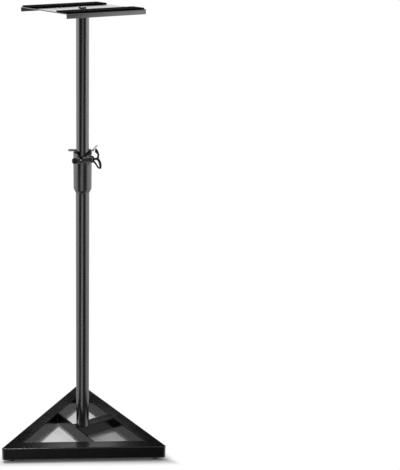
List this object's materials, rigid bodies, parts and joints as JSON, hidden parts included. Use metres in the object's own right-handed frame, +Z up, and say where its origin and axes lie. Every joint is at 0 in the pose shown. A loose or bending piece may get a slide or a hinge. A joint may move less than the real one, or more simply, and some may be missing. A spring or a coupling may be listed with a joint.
{
  "type": "speaker stand",
  "caption": "Height-adjustable stand for a studio monitor: triangular tube base, telescoping pole with split clamp, T-handle and locking pin, folded top plate with anti-slip strips",
  "frame": {"origin": "on the floor, in the middle of the base's bounding box", "axes": "+Z up along the pole, +Y from the pole to the middle of the rear beam, +X to the right beam's side"},
  "size_m": [0.4428, 0.3835, 1.1957],
  "materials": {
    "base_paint": "smooth semi-gloss black paint",
    "tube_paint": "satin black paint",
    "foot_rubber": "matte black rubber",
    "pad_rubber": "matte black pebbled rubber",
    "black_plastic": "fine-grained black plastic",
    "nylon": "smooth black nylon",
    "steel": "bright zinc-plated steel"
  },
  "bodies": {
    "base": {"rear_beam": "base_paint", "left_beam": "base_paint", "right_beam": "base_paint", "centre_beam": "base_paint", "cross_bar": "base_paint", "front_tip": "base_paint", "left_tip": "base_paint", "right_tip": "base_paint", "front_foot": "foot_rubber", "left_foot": "foot_rubber", "right_foot": "foot_rubber", "front_foot_screw": "steel", "left_foot_screw": "steel", "right_foot_screw": "steel", "lower_tube": "tube_paint", "lower_plug": "steel", "base_washer": "steel", "base_bolt": "steel", "clamp_collar": "tube_paint", "clamp_liner": "black_plastic", "collar_screw": "steel", "clamp_nut": "black_plastic"},
    "guide": {"guide_bush": "nylon"},
    "mast": {"upper_tube": "tube_paint", "mast_plug": "nylon", "top_plug": "steel", "plate_washer": "tube_paint", "top_plate": "tube_paint", "centre_bolt": "base_paint", "right_pad": "pad_rubber", "left_pad": "pad_rubber"},
    "handle": {"t_handle": "black_plastic", "clamp_bolt": "steel", "clamp_washer": "steel"},
    "pin": {"locking_pin": "steel", "pin_loop": "steel"}
  },
  "joints": [
    {"name": "mast_slide", "type": "slide", "parent": "base", "child": "guide", "axis": [0, 0, 1], "range_m": [-0.27, 0.18]},
    {"name": "mast_turn", "type": "hinge", "parent": "guide", "child": "mast", "pos_m": [0, 0.06149, 0.43], "axis": [0, 0, 1], "continuous": true},
    {"name": "handle_turn", "type": "hinge", "parent": "base", "child": "handle", "pos_m": [0.02196, 0.05762, 0.813], "axis": [0.1736, 0.9848, 0], "range_deg": [0, 720]},
    {"name": "pin_pull", "type": "slide", "parent": "base", "child": "pin", "axis": [0.5, 0.866, 0], "range_m": [0, 0.08]}
  ]
}
